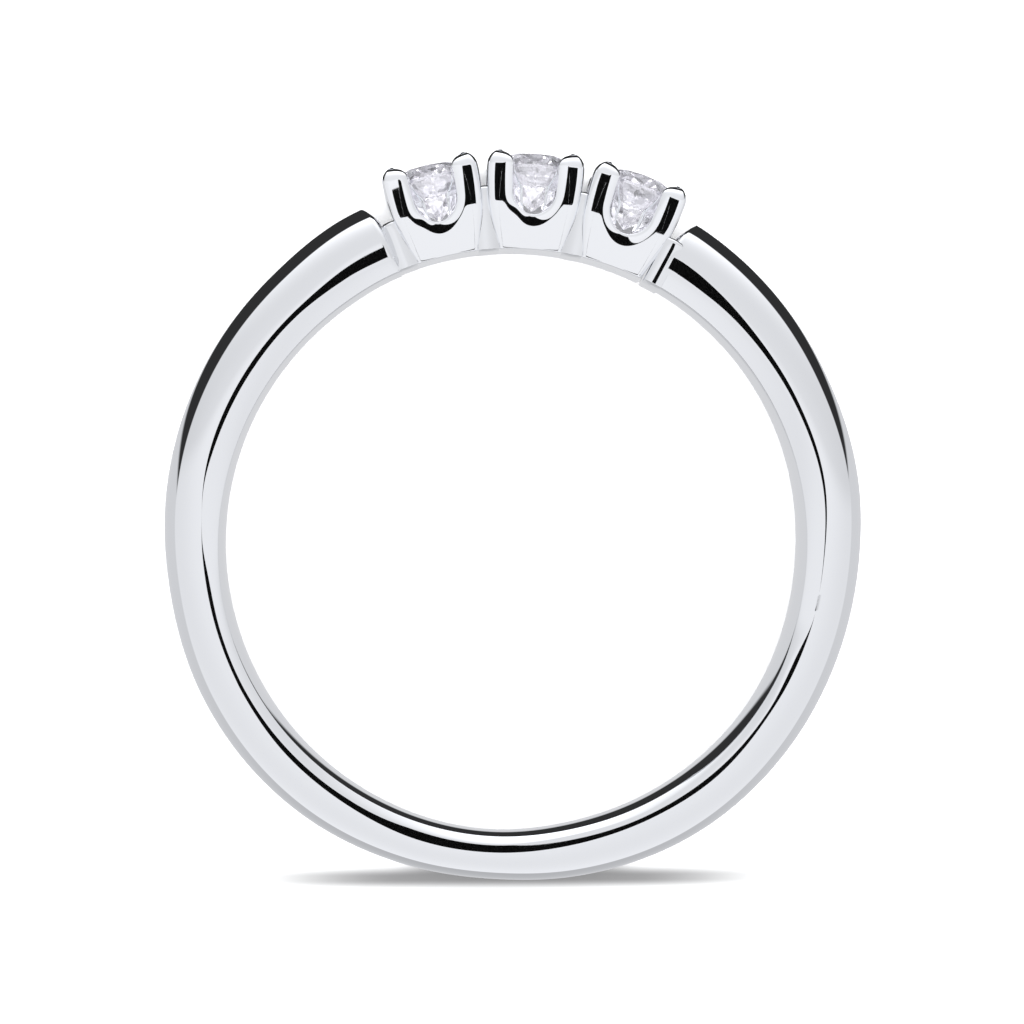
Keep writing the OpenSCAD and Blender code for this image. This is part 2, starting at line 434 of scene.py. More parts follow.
def smooth_table(places: Array, table: Rows) -> Array:
    """Values on the smooth curve through the rows of a table, with the slope at each row taken
    from its neighbours (a cubic through each pair of rows that keeps their values and slopes).

    Args:
        places: Places at which the curve is read, of any shape.
        table: Rows of place and value.

    Returns:
        Values of the same shape as places.
    """
    x, y = np.array(table, float).T
    slope = np.gradient(y, x)
    slope[-1] = 0.0
    i = np.clip(np.searchsorted(x, places, side="right") - 1, 0, len(x) - 2)
    w = x[i + 1] - x[i]
    t = np.clip((places - x[i]) / w, 0, 1)
    return (y[i] * (1 + 2 * t) * (1 - t) ** 2 + slope[i] * w * t * (1 - t) ** 2
            + y[i + 1] * t ** 2 * (3 - 2 * t) + slope[i + 1] * w * t ** 2 * (t - 1))


def arc_steps(count: int, end: float = 90.0) -> Array:
    """Evenly spaced angles in radians, from zero up to but without the end, given in degrees."""
    return np.radians(np.linspace(0, end, count, endpoint=False))


def on_circle(radius: Array | float, height: Array | float, angle: Array) -> Array:
    """Points round the axis y, at a radius, a height and an angle from z towards x."""
    return np.stack([radius * np.sin(angle), height + 0 * angle, radius * np.cos(angle)], axis=-1)


def turned(points: Array, angle: float) -> Array:
    """Turns points clockwise about the finger axis, as seen from +Z.

    Args:
        points: Points with three coordinates in the last place.
        angle: Angle in radians.

    Returns:
        The turned points.
    """
    cos, sin = math.cos(angle), math.sin(angle)
    x, y, z = points[..., 0], points[..., 1], points[..., 2]
    return np.stack([x * cos + y * sin, y * cos - x * sin, z], axis=-1)


@dataclass
class Shank:
    """Back, sides and shoulders: a section that changes along the ring, with rounded ends.

    The rows of each table give an angle, clockwise from the middle stone, and a length, or a tilt
    in degrees for crease_rows. The two sides differ by a few hundredths, as on any ring that is
    filed and polished by hand.
    """

    sizes: RingSizes
    stations: int = 620
    end_round: float = 0.2
    end_fade: float = 0.4
    peak_round: float = 0.15
    past_peak: float = 0.02
    right_ahead: float = 0.02
    end_steps: int = 6
    slope_steps: int = 23
    outer_steps: int = 24
    dome_steps: int = 12
    bevel_steps: int = 18
    wall_points: int = 16
    dome_end: float = 16.0
    crease_least: float = 4.0
    corner_least: float = 0.05
    thickness_rows: Rows = (
        (28, 2.24), (45, 2.09), (60, 1.94), (75, 1.855), (90, 1.72), (105, 1.665), (125, 1.66),
        (145, 1.635), (165, 1.49), (180, 1.385), (195, 1.44), (212, 1.54), (240, 1.585), (260, 1.565),
        (275, 1.67), (285, 1.74), (300, 1.85), (315, 1.955), (332, 2.15))
    apex_rows: Rows = (
        (28, 0.96), (36, 0.855), (45, 0.752), (60, 0.705), (75, 0.685), (90, 0.48), (110, 0.45),
        (120, 0.43), (135, 0.56), (150, 0.495), (165, 0.5), (180, 0.545), (195, 0.585), (210, 0.49),
        (225, 0.477), (240, 0.38), (250, 0.385), (260, 0.417), (270, 0.42), (285, 0.645),
        (300, 0.685), (315, 0.706), (332, 0.91))
    width_rows: Rows = (
        (28, 2.42), (75, 2.42), (90, 2.4), (120, 2.16), (150, 1.83), (180, 1.6), (210, 1.83),
        (240, 2.2), (270, 2.4), (332, 2.42))
    dome_rows: Rows = (
        (28, 1.66), (36, 1.27), (45, 0.9), (60, 0.69), (75, 0.5), (84, 0.27), (92, 0.07), (101, 0.06),
        (108, 0.75), (120, 0.55), (135, 1.3), (150, 1.1), (165, 1.3), (180, 1.1), (195, 1.25),
        (210, 0.96), (225, 1.0), (240, 0.58), (250, 0.65), (260, 0.7), (268, 0.08), (276, 0.09),
        (285, 0.75), (300, 0.92), (315, 0.91), (324, 1.5), (332, 2.0))
    wall_rows: Rows = (
        (28, 0.68), (60, 0.76), (90, 1.03), (120, 0.85), (150, 0.7), (180, 0.58), (210, 0.75),
        (240, 1.0), (270, 1.03), (300, 0.87), (320, 0.78), (334, 0.8))
    rise_rows: Rows = (
        (28, 0.01), (75, 0.01), (90, 0.0), (120, 0.04), (150, -0.01), (165, -0.03), (180, 0.02),
        (210, 0.01), (240, 0.0), (285, -0.085), (322, -0.082), (334, -0.04))
    bulge_rows: Rows = (
        (28, 0.05), (75, 0.05), (105, 0.11), (165, 0.14), (250, 0.11), (285, 0.05), (332, 0.05))
    crease_rows: Rows = (
        (28, 43), (60, 46), (90, 46), (105, 66), (125, 66), (145, 48), (300, 46), (332, 43))

    def section(self, degrees: Array) -> Array:
        """Front half of the section at each angle, from the outermost point round to the middle
        of the bore wall.

        The outer quarter is an ellipse from the outside to the widest place. Below it comes a
        circle arc up to the tilt dome_end, then a curve that starts at that tilt and ends at the
        edge of the bore with the edge's own tilt, drawn by the corner of its two end tangents.
        The bore wall runs from there to its middle and bulges by the square of the way out.

        Args:
            degrees: Clockwise angle of each station from the middle stone.

        Returns:
            Distance from the bore centre and z, stations by points by two.
        """
        thick, apex, width, dome, wall, rise, bulge, crease = (
            smooth_table(degrees, table)[:, None]
            for table in (self.thickness_rows, self.apex_rows, self.width_rows, self.dome_rows,
                          self.wall_rows, self.rise_rows, self.bulge_rows, self.crease_rows))
        turn = arc_steps(self.outer_steps)
        outer = np.stack([apex + (thick - apex) * np.cos(turn), width / 2 * np.sin(turn)], axis=-1)
        tilt = np.append(arc_steps(self.dome_steps, self.dome_end), math.radians(self.dome_end))
        inner = np.stack([apex - dome * np.sin(tilt), width / 2 - dome * (1 - np.cos(tilt))], axis=-1)
        start, stop = inner[:, -1], np.concatenate([rise, wall], axis=1)
        gap = stop - start
        length = np.linalg.norm(gap, axis=1)
        straight = np.arctan2(-gap[:, 1:], -gap[:, :1])
        crease = np.maximum(np.radians(crease), straight + math.radians(self.crease_least))
        go = np.array([[-np.cos(tilt[-1]), -np.sin(tilt[-1])]])
        back = np.concatenate([np.cos(crease), np.sin(crease)], axis=1)
        across = go[:, 0] * back[:, 1] - go[:, 1] * back[:, 0]
        reach = (gap[:, 0] * back[:, 1] - gap[:, 1] * back[:, 0]) / across
        reach = np.clip(reach, self.corner_least * length, (1 - self.corner_least) * length)
        start, stop = start[:, None], stop[:, None]
        corner = start + reach[:, None, None] * go
        u = np.linspace(0, 1, self.bevel_steps, endpoint=False)[:, None]
        bevel = start * (1 - u) ** 2 + 2 * corner * u * (1 - u) + stop * u ** 2
        s = np.linspace(1, 0, self.wall_points)
        bore = np.stack([rise + bulge * wall ** 2 * (s ** 2 - 1), wall * s], axis=-1)
        half = np.concatenate([outer, inner[:, :-1], bevel, bore], axis=1)
        half[..., 0] += self.sizes.bore_r
        return half

    def outline(self, angles: Array, inset: Array) -> Array:
        """Whole closed section at each angle, drawn in by an inset along its own normal and cut
        down to the slopes of the shoulder ends.

        The inset fades to nothing on the bore wall. Where the section meets the slope's limit,
        the peak is rounded by the square of how near the two are.

        Args:
            angles: Angle of each station, in radians.
            inset: How far each station's section is drawn in.

        Returns:
            Points in space, stations by points by three.
        """
        half = self.section(np.degrees(angles))
        mirrored = half[:, -2:0:-1] * np.array([1.0, -1.0])
        loop = np.concatenate([half, mirrored], axis=1)
        along = np.roll(loop, -1, axis=1) - np.roll(loop, 1, axis=1)
        normal = np.stack([-along[..., 1], along[..., 0]], axis=-1)
        normal /= np.linalg.norm(normal, axis=-1, keepdims=True)
        clear = np.clip((loop[..., 0] - self.sizes.bore_r) / self.end_fade, 0, 1)
        loop = loop + (inset[:, None] * clear)[..., None] * normal
        folded = np.abs((angles + np.pi) % (2 * np.pi) - np.pi) + self.right_ahead * (angles < np.pi)
        limit = self.slope_limit(folded)[:, None]
        soft = self.peak_round
        over = np.maximum(soft - np.abs(loop[..., 0] - limit), 0) / soft
        rho = np.minimum(loop[..., 0], limit) - over ** 2 * soft / 4
        sin, cos = np.sin(angles)[:, None], np.cos(angles)[:, None]
        return np.stack([rho * sin, rho * cos, loop[..., 1]], axis=-1)

    def slope_limit(self, folded: Array) -> Array:
        """Greatest distance from the bore centre that a shoulder's slope allows: along the
        straight line between its foot and its peak, by the law of sines.

        Args:
            folded: Angle from the middle stone on either side, in radians.

        Returns:
            The limit at each angle, and a large number beyond the peak.
        """
        sizes = self.sizes
        foot = sizes.foot_r * np.array([math.sin(sizes.foot_angle), math.cos(sizes.foot_angle)])
        peak = sizes.peak_r * np.array([math.sin(sizes.peak_angle), math.cos(sizes.peak_angle)])
        line = peak - foot
        cross = foot[0] * line[1] - foot[1] * line[0]
        limit = cross / (np.sin(folded) * line[1] - np.cos(folded) * line[0])
        return np.where(folded < sizes.peak_angle, limit, 10 * sizes.peak_r)

    def build(self) -> Object:
        """Carries the section round the ring and rounds both ends over by a quarter circle.

        Returns:
            The closed piece.
        """
        start, past = self.sizes.foot_angle, self.sizes.peak_angle + self.past_peak
        lead = self.end_round / self.sizes.foot_r
        turn = arc_steps(self.end_steps)
        rounded = start + lead * (1 - np.cos(turn))
        slope = np.linspace(start + lead, past, self.slope_steps, endpoint=False)
        middle = np.linspace(past, 2 * np.pi - past, self.stations)
        end = np.concatenate([rounded, slope])
        end_inset = np.concatenate([self.end_round * (1 - np.sin(turn)), 0 * slope])
        angles = np.concatenate([end - self.right_ahead, middle, 2 * np.pi - end[::-1]])
        grid = self.outline(angles, np.concatenate([end_inset, 0 * middle, end_inset[::-1]]))
        return build_metal("shank", grid, grid[0].mean(axis=0), grid[-1].mean(axis=0))


@dataclass
class Head:
    """One box head: a flared square cup with four U windows and four corner prongs.

    Its surface is one profile carried along its rim, which dips into each window and climbs over
    each prong. Lengths along the head's own axis are distances from the bore centre. The rows of
    a table give such a height and half a width, and each pair of rim sizes gives how far from the
    rim the wall starts to round over and the rounding's depth.
    """

    sizes: RingSizes
    side: Side
    table_h: float
    side_rows: Rows = ((8.3, 0.85), (8.6, 0.94), (9.2, 1.13), (9.8, 1.3), (10.28, 1.37),
                       (10.7, 1.405), (11.1, 1.405), (11.4, 1.375))
    front_rows: Rows = ((8.3, 0.8), (8.6, 0.885), (9.2, 1.05), (9.6, 1.162), (9.91, 1.241),
                        (10.3, 1.321), (10.7, 1.377), (11.07, 1.405), (11.4, 1.41))
    corner_r: float = 0.22
    window_r: float = 0.65
    window_low: float = 9.58
    prong_side_v: float = 11.0
    prong_top_v: float = 11.38
    rim_low: tuple[float, float] = (0.5, 0.08)
    rim_side: tuple[float, float] = (0.3, 0.12)
    rim_top: tuple[float, float] = (0.4, 0.36)
    rim_left: tuple[float, float] = (0.1, 0.05)
    rim_points: int = 72
    foot_steps: tuple[float, ...] = (0.35, 0.7, 1.0)
    fan: float = 0.1
    wall_steps: int = 48
    round_steps: int = 14
    tip_broad: float = 0.8
    lip_steps: tuple[float, ...] = (0.25, 0.5, 0.75, 1.0)
    lip_least: float = 0.02
    lip_fall: float = 0.02
    tip_fall: float = 0.26
    cup_steps: int = 12
    cup_r: float = 0.75
    seat_r: float = 1.355
    seat_slope: float = 1.16
    girdle_drop: float = 0.4713
    floor_drop: float = 0.15
    floor_dip: float = 0.02
    even_share: float = 0.45
    floor_ring: float = 0.5

    def outer(self, u: Array, v: Array) -> tuple[Array, Array]:
        """Point of the outer wall, on a square with rounded corners, unrolled by u.

        From the middle of one face (u = 0) to the middle of the next (u = 1) the wall is a
        straight run, a quarter circle at the corner and a straight run, all scaled to the half
        width of side_rows at that height. Along the finger it is scaled again, to front_rows.

        Args:
            u: Place along the wall, a whole number at each face's middle.
            v: Height.

        Returns:
            Points (x, v, z) and level outward directions of the same shape.
        """
        half = smooth_table(v, self.side_rows)
        r = self.corner_r * half / (self.sizes.head_w / 2)
        face = np.floor(u)
        straight, arc = half - r, r * np.pi / 2
        run = (u - face) * (2 * straight + arc)
        swing = np.clip((run - straight) / r, 0, np.pi / 2)
        nx, nz = np.sin(swing), np.cos(swing)
        x = np.minimum(run, straight) + r * nx
        z = straight + r * nz - np.maximum(run - straight - arc, 0)
        cos, sin = np.cos(face * np.pi / 2), np.sin(face * np.pi / 2)
        deep = smooth_table(v, self.front_rows) / half
        point = np.stack([x * cos + z * sin, v, (z * cos - x * sin) * deep], axis=-1)
        normal = np.stack([nx * cos + nz * sin, 0 * v, nz * cos - nx * sin], axis=-1)
        return point, normal

    def rim_path(self) -> tuple[Array, ...]:
        """The rim from the lowest point of one window to that of the next, in the unrolled wall.

        It follows a quarter circle, the window's straight side and a quarter ellipse to the
        prong's top, and the same back. Beside it run the line where the wall starts to round
        over, and the rim's depth. On the left and the middle head that line lies rim_left
        further out at the lower left of each window, so the rounding is wider there.

        Returns:
            u and v of the sharp rim, u and v of the rounding's start, and the rounding's depth.
        """
        total = self.sizes.head_w - 2 * self.corner_r + self.corner_r * np.pi / 2
        centre, side_v = self.window_low + self.window_r, self.prong_side_v
        half_prong = total / 2 - self.window_r
        low_count, side_count = self.rim_points // 3, self.rim_points // 4
        low = arc_steps(low_count)
        climb = np.linspace(0, 1, side_count, endpoint=False)
        top = np.append(arc_steps(self.rim_points - low_count - side_count), np.pi / 2)
        broad = np.cos(top) ** self.tip_broad

        def line(radius: Array | float, beside: float, tip: float) -> tuple[Array, Array]:
            """A line along the rim: circle arc, straight side and quarter ellipse.

            Args:
                radius: Radius of the arc round the window's centre.
                beside: Distance of the side from the window's edge.
                tip: Height at the prong's middle.

            Returns:
                Places along the wall and heights.
            """
            x = np.concatenate([radius * np.sin(low), self.window_r + beside + 0 * climb,
                                total / 2 - (half_prong - beside) * broad])
            v = np.concatenate([centre - radius * np.cos(low), centre + (side_v - centre) * climb,
                                side_v + (tip - side_v) * np.sin(top)])
            return x, v

        (low_w, low_d), (side_w, side_d), (top_w, top_d) = self.rim_low, self.rim_side, self.rim_top
        blend = np.sin(low) ** 2
        x, v = line(self.window_r, 0.0, self.prong_top_v)
        inner_x, inner_v = line(self.window_r + low_w + (side_w - low_w) * blend, side_w,
                                self.prong_top_v - top_w)
        depth = np.concatenate([low_d + (side_d - low_d) * blend, side_d + 0 * climb,
                                side_d + (top_d - side_d) * np.sin(top) ** 2])
        wider = 0.0 if self.side is Side.RIGHT else 1.0
        ease = np.concatenate([wider * np.sin(2 * low) ** 2, 0 * climb, 0 * top])
        down = np.concatenate([low, 0 * climb, 0 * top])
        left_w, left_d = self.rim_left
        left_x = inner_x + left_w * ease * np.sin(down)
        left_v = inner_v - left_w * ease * np.cos(down)
        u, iu = (np.concatenate([right, total - left[-2:0:-1]]) / total
                 for right, left in ((x, x), (inner_x, left_x)))
        v, iv, depth = (np.concatenate([right, left[-2:0:-1]]) for right, left in (
            (v, v), (inner_v, left_v), (depth, depth - left_d * ease)))
        return u, v, iu, iv, depth

    def seat_radius(self, v: Array) -> Array:
        """Radius of the room inside the head at a height: the stone's cone below its girdle, and
        never less than the open cup.

        Args:
            v: Height.

        Returns:
            Radii of the same shape.
        """
        girdle = self.sizes.bore_r + self.table_h - self.girdle_drop
        return np.clip(self.seat_r - (girdle - v) * self.seat_slope, self.cup_r, self.seat_r)

    def grid(self) -> Array:
        """The head's surface in its own axes (x across, v outwards, z along the finger).

        The rows run from the middle of the foot on the bore up the outer wall, over the rim by a
        quarter ellipse, inwards over the lip, which falls by the square of the way in, and down
        the cup to its floor.

        Returns:
            Points, rows down the profile by columns round the rim by three.
        """
        u, v, iu, iv, depth = self.rim_path()
        u, iu = (np.concatenate([place + face for face in range(4)]) for place in (u, iu))
        v, iv, depth = (np.tile(value, 4) for value in (v, iv, depth))
        foot_u = self.foot_spread(iu)
        foot, _ = self.outer(foot_u, self.sizes.bore_r + 0 * v)
        rows = [self.on_bore(foot * np.array([w, 1.0, w])) for w in self.foot_steps]
        foot_v = rows[-1][:, 1]
        for w in np.linspace(0, 1, self.wall_steps + 1)[1:]:
            rows.append(self.outer(foot_u + (iu - foot_u) * w, foot_v + (iv - foot_v) * w)[0])
        rim, out = self.outer(u, v)
        start, crest = rows[-1], rim - out * depth[:, None]
        opposite = start + crest - rim
        for turn in np.linspace(0, np.pi / 2, self.round_steps + 1)[1:]:
            rows.append(opposite + (start - opposite) * np.cos(turn) + (crest - opposite) * np.sin(turn))
        angle, reach = np.arctan2(crest[:, 0], crest[:, 2]), np.hypot(crest[:, 0], crest[:, 2])
        lip = np.minimum(self.seat_radius(v), reach - self.lip_least)
        climb = np.clip((v - self.prong_side_v) / (self.prong_top_v - self.prong_side_v), 0, 1)
        fall = self.lip_fall + self.tip_fall * climb
        for w in self.lip_steps:
            rows.append(on_circle(reach + (lip - reach) * w, v - fall * w ** 2, angle))
        spread = self.floor_spread(u) * np.pi / 2
        angle = np.unwrap(angle)
        angle += np.round((spread - angle).mean() / (2 * np.pi)) * 2 * np.pi
        floor_v = self.window_low - self.floor_drop
        for w in np.linspace(0, 1, self.cup_steps + 1)[1:]:
            height = v - fall + (floor_v - (v - fall)) * w
            radius = lip + (self.seat_radius(height) - lip) * min(1.0, 3 * w)
            rows.append(on_circle(radius, height, angle + (spread - angle) * w))
        rows.append(rows[-1] * np.array([self.floor_ring, 1.0, self.floor_ring]))
        return np.stack(rows)

    def floor_spread(self, u: Array) -> Array:
        """Where each column of the rim ends on the cup's floor: partly at its own place and
        partly evened out.

        Args:
            u: Place of each column on the rim.

        Returns:
            Place of each column on the floor.
        """
        face, count = np.floor(u), len(u) // 4
        step = np.arange(len(u)) % count / count
        return face + self.even_share * step + (1 - self.even_share) * (u - face)

    def foot_spread(self, u: Array) -> Array:
        """Where each column of the outer wall starts at the foot: below its own place on the
        rim, moved towards the prong by the sine of its place in the row of columns.

        Args:
            u: Place of each column where the rim starts to round over.

        Returns:
            Place of each column at the foot.
        """
        step = np.arange(len(u)) / (len(u) // 4)
        return u + self.fan * np.sin(2 * np.pi * step)

    def on_bore(self, points: Array) -> Array:
        """Moves points along the head's axis onto the round bore wall.

        Args:
            points: Points in the head's own axes.

        Returns:
            The moved points.
        """
        height = np.sqrt(self.sizes.bore_r ** 2 - points[:, 0] ** 2)
        return np.stack([points[:, 0], height, points[:, 2]], axis=-1)

    def build(self) -> Object:
        """Turns the surface into its place in the row.

        Returns:
            The closed piece.
        """
        angle = self.side.value * self.sizes.pitch
        foot = np.array([0.0, self.sizes.bore_r, 0.0])
        floor = np.array([0.0, self.window_low - self.floor_drop - self.floor_dip, 0.0])
        return build_metal(f"head_{self.side.name.lower()}",
                           *(turned(part, angle) for part in (self.grid(), foot, floor)))


@dataclass
class Link:
    """Round-backed post of solder and metal that fills the gap between two heads, or between a
    head and a shoulder, and stands on the bore."""

    sizes: RingSizes
    name: str
    angle: float
    height: float
    flare: float = 0.0
    half_span: float = 0.32
    half_depth: float = 0.98
    bulge: float = 0.12
    dome: float = 0.14
    foot_rows: tuple[float, float, float] = (0.0, 0.01, 0.05)
    face_points: int = 25
    steps: int = 8

    def build(self) -> Object:
        """Carries a bar with two bulging faces along the post's own axis, from the bore to a
        domed top.

        Each face is z = half_depth - bulge (x / half_span) squared, and the dome draws the whole
        outline in by a quarter circle over the last part of the height.

        Returns:
            The closed piece.
        """
        x = np.linspace(-1, 1, self.face_points)
        face = np.stack([self.half_span * x, self.half_depth - self.bulge * x ** 2], axis=-1)
        loop = np.vstack([face, -face])
        bore, top = self.sizes.bore_r, self.sizes.bore_r + self.height
        first, second, third = self.foot_rows
        straight = np.linspace(bore + third, top - self.dome, self.steps, endpoint=False)
        straight = np.concatenate([[bore + first, bore + second], straight])
        rise = arc_steps(self.steps)
        heights = np.concatenate([straight, top - self.dome * (1 - np.sin(rise))])
        inset = np.concatenate([0 * straight, self.dome * (1 - np.cos(rise))])
        flat = loop * (1 - inset[:, None, None] / np.array([self.half_span, self.half_depth]))
        v = np.repeat(heights[:, None], len(loop), axis=1)
        v[0] = np.sqrt(bore ** 2 - loop[:, 0] ** 2)
        deep = flat[..., 1] * (1 + self.flare * (v - top) / self.half_depth)
        grid = np.stack([flat[..., 0], v, deep], axis=-1)
        poles = np.array([[0.0, bore, 0.0], [0.0, top, 0.0]])
        return build_metal(self.name, turned(grid, self.angle), *turned(poles, self.angle))


@dataclass
class Brilliant:
    """Round brilliant: table, 8 stars, 8 kites, 16 upper and 16 lower halves, 8 mains."""

    sizes: RingSizes
    side: Side
    table_h: float
    diameter: float = 2.65
    table_share: float = 0.57
    girdle_share: float = 0.03
    star_share: float = 0.38
    lower_share: float = 0.11
    crown_angle: float = 34.5
    pavilion_angle: float = 40.75

    def points(self) -> Array:
        """Corners of all facets, ring by ring from the table down to the culet.

        Each ring is a circle of evenly spaced corners. Table, star and lower rings lie on the
        crown and pavilion planes, at the heights that their angles give.

        Returns:
            Points in the stone's own axes.
        """
        top = self.sizes.bore_r + self.table_h
        r, table = self.diameter / 2, self.diameter * self.table_share / 2
        crown = math.tan(math.radians(self.crown_angle))
        pavilion = math.tan(math.radians(self.pavilion_angle))
        between = 360 / 16
        inner = math.cos(math.radians(between))
        star, lower = self.diameter * self.star_share, self.diameter * self.lower_share
        girdle = top - (r - table) * crown
        low = girdle - self.diameter * self.girdle_share
        circles = ((table, top, 8, 0.0), (star, top - (star * inner - table) * crown, 8, between),
                   (r, girdle, 16, 0.0), (r, low, 16, 0.0),
                   (lower, low - (r - lower * inner) * pavilion, 8, between))
        rings = [on_circle(radius, height, np.radians(first + np.arange(count) * 360 / count))
                 for radius, height, count, first in circles]
        return np.vstack([*rings, [0, low - r * pavilion, 0]])

    def build(self, polished: Material, frosted: Material) -> Object:
        """Makes the facets and turns the stone into its head.

        Args:
            polished: Material of the facets.
            frosted: Material of the girdle.

        Returns:
            The closed stone with flat facets and a frosted girdle.
        """
        k, k2 = np.arange(8), np.arange(16)
        n, n2 = (k + 1) % 8, (k2 + 1) % 16
        # Where each circle of corners starts: the table's at 0, then 8 or 16 corners apiece.
        star, top, low, lower, culet = 8, 16, 32, 48, 56
        groups = (
            k[None], np.stack([k, n, star + k], axis=1),
            np.stack([n, star + n, top + 2 * n, star + k], axis=1),
            np.stack([star + k, top + 2 * k + 1, top + 2 * k], axis=1),
            np.stack([star + k, top + 2 * n, top + 2 * k + 1], axis=1),
            np.stack([lower + k, low + 2 * k, low + 2 * k + 1], axis=1),
            np.stack([lower + k, low + 2 * k + 1, low + 2 * n], axis=1),
            np.stack([lower + k, low + 2 * n, lower + n, np.full(8, culet)], axis=1),
            np.stack([top + k2, top + n2, low + n2, low + k2], axis=1))
        faces = groups[0].tolist()
        faces += [face[::-1] for group in groups[1:] for face in group.tolist()]
        name = self.side.name.lower()
        mesh = bpy.data.meshes.new(f"brilliant_{name}")
        points = turned(self.points(), self.side.value * self.sizes.pitch)
        mesh.from_pydata((points * MM).tolist(), [], faces)
        mesh.shade_flat()
        mesh.materials.append(polished)
        mesh.materials.append(frosted)
        on_girdle = np.arange(len(faces)) >= len(faces) - len(k2)
        mesh.polygons.foreach_set("material_index", on_girdle.astype(np.int32))
        return place_piece(bpy.data.objects.new(mesh.name, mesh), f"stone_{name}")


@dataclass(frozen=True)
class SoftRoom:
    """The room's light by direction, as the polished metal mirrors it.

    A direction has the parts x to the right of the stones, y towards them and z up. Each span
    gives a range and the results at its ends.
    """

    colour: str = "#FBFCFF"
    white: Span = (0.02, 0.17, 0.96, 0.85)
    behind_loss: float = 0.14
    side_loss: float = 0.11
    behind_glow: float = 0.18
    ahead_glow: float = 1.1
    ahead_power: float = 4.0
    grey: float = 0.72
    grey_loss: float = 0.2
    dark_bow: float = 0.4
    dark_reach: float = 1.18
    dark_lean: float = 0.17
    dark_edge: Span = (0.14, 0.2, 1.0, 0.045)
    horizon: float = 0.03

    def make(self) -> None:
        """Builds the world from a half above the ring's level, a half below it, and a soft
        passage between them, horizon to either side of level."""
        world = bpy.data.worlds.new("soft_studio")
        world.use_nodes = True
        tree = world.node_tree
        direction = add_node(tree, "TexCoord")["Generated"]
        x, y, z = add_node(tree, "SeparateXYZ", (direction,))
        behind = add_node(tree, "Math", (y, -1.0), operation="MULTIPLY", use_clamp=True)[0]
        parts = (x, y, z, behind)
        up = add_node(tree, "MapRange", (z, -self.horizon, self.horizon, 0.0, 1.0), **SMOOTH)[0]
        both = add_node(tree, "Mix", {"Factor": up, "A": self.below(tree, parts),
                                      "B": self.above(tree, parts)}, data_type="FLOAT")["Result"]
        background = tree.nodes["Background"]
        tree.links.new(both, background.inputs["Strength"])
        background.inputs["Color"].default_value = hex_linear(self.colour)
        bpy.context.scene.world = world

    def above(self, tree: Tree, parts: tuple[Socket, ...]) -> Socket:
        """Light from above: white by y, less behind_loss times the way back and side_loss times
        the square of x, and with a glow near the ring's level, behind_glow times the way back
        and ahead_glow times a power of the way ahead.

        Args:
            tree: Node tree that takes the nodes.
            parts: Parts of the direction to the right, ahead, up, and back or else zero.

        Returns:
            The light's strength.
        """
        x, y, z, behind = parts
        white = add_node(tree, "MapRange", (y, *self.white), **SMOOTH)[0]
        white = add_node(tree, "Math", (behind, -self.behind_loss, white), operation="MULTIPLY_ADD")[0]
        sides = add_node(tree, "Math", (x, x), operation="MULTIPLY")[0]
        white = add_node(tree, "Math", (sides, -self.side_loss, white), operation="MULTIPLY_ADD")[0]
        ahead = add_node(tree, "Math", (y, 0.0), operation="MAXIMUM")[0]
        glow = add_node(tree, "Math", (ahead, self.ahead_power), operation="POWER")[0]
        glow = add_node(tree, "Math", (glow, self.ahead_glow), operation="MULTIPLY")[0]
        glow = add_node(tree, "Math", (behind, self.behind_glow, glow), operation="MULTIPLY_ADD")[0]
        low = add_node(tree, "Math", (1.0, z), operation="SUBTRACT", use_clamp=True)[0]
        return add_node(tree, "Math", (glow, low, white), operation="MULTIPLY_ADD")[0]

    def below(self, tree: Tree, parts: tuple[Socket, ...]) -> Socket:
        """Light from below: grey, less grey_loss times the square of the way back, and nearly
        black beyond an edge that bows ahead with depth, by -dark_bow z (z + dark_reach), and
        leans by dark_lean times x on the left.

        Args:
            tree: Node tree that takes the nodes.
            parts: Parts of the direction to the right, ahead, up, and back or else zero.

        Returns:
            The light's strength.
        """
        x, y, z, behind = parts
        reach = add_node(tree, "Math", (z, self.dark_reach), operation="ADD")[0]
        bow = add_node(tree, "Math", (z, self.dark_bow), operation="MULTIPLY")[0]
        left = add_node(tree, "Math", (x, 0.0), operation="MINIMUM")[0]
        past = add_node(tree, "Math", (left, -self.dark_lean, y), operation="MULTIPLY_ADD")[0]
        past = add_node(tree, "Math", (bow, reach, past), operation="MULTIPLY_ADD")[0]
        dark = add_node(tree, "MapRange", (past, *self.dark_edge), **SMOOTH)[0]
        back = add_node(tree, "Math", (behind, behind), operation="MULTIPLY")[0]
        grey = add_node(tree, "Math", (back, -self.grey_loss, self.grey), operation="MULTIPLY_ADD")[0]
        return add_node(tree, "Math", (grey, dark), operation="MULTIPLY")[0]


